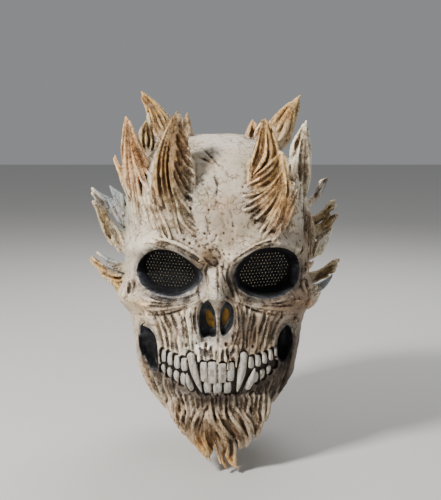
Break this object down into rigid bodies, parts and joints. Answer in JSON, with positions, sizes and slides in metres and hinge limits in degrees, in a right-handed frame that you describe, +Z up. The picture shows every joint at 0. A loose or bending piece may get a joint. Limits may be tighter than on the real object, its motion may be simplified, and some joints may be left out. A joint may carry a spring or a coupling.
{
  "type": "skull mask",
  "caption": "Full-head latex skull mask with horn tufts, bared fangs, a beard of locks, perforated eye panels and an open neck.",
  "frame": {"origin": "top of the inside of the crown, where the mask rests on the wearer's head", "axes": "+Z up, -Y the way the face looks, +X to the right of someone facing the mask"},
  "size_m": [0.2753, 0.2391, 0.3765],
  "materials": {
    "painted_latex": "matt bone paint with a dark brown wash in the creases and ochre horn and beard tips",
    "eye_panel": "black, perforated",
    "amber_foam": "soft amber foam"
  },
  "bodies": {
    "root": {"mask_casting": "painted_latex", "eye_panel_left": "eye_panel", "eye_panel_right": "eye_panel", "nose_pad": "amber_foam"}
  },
  "joints": []
}
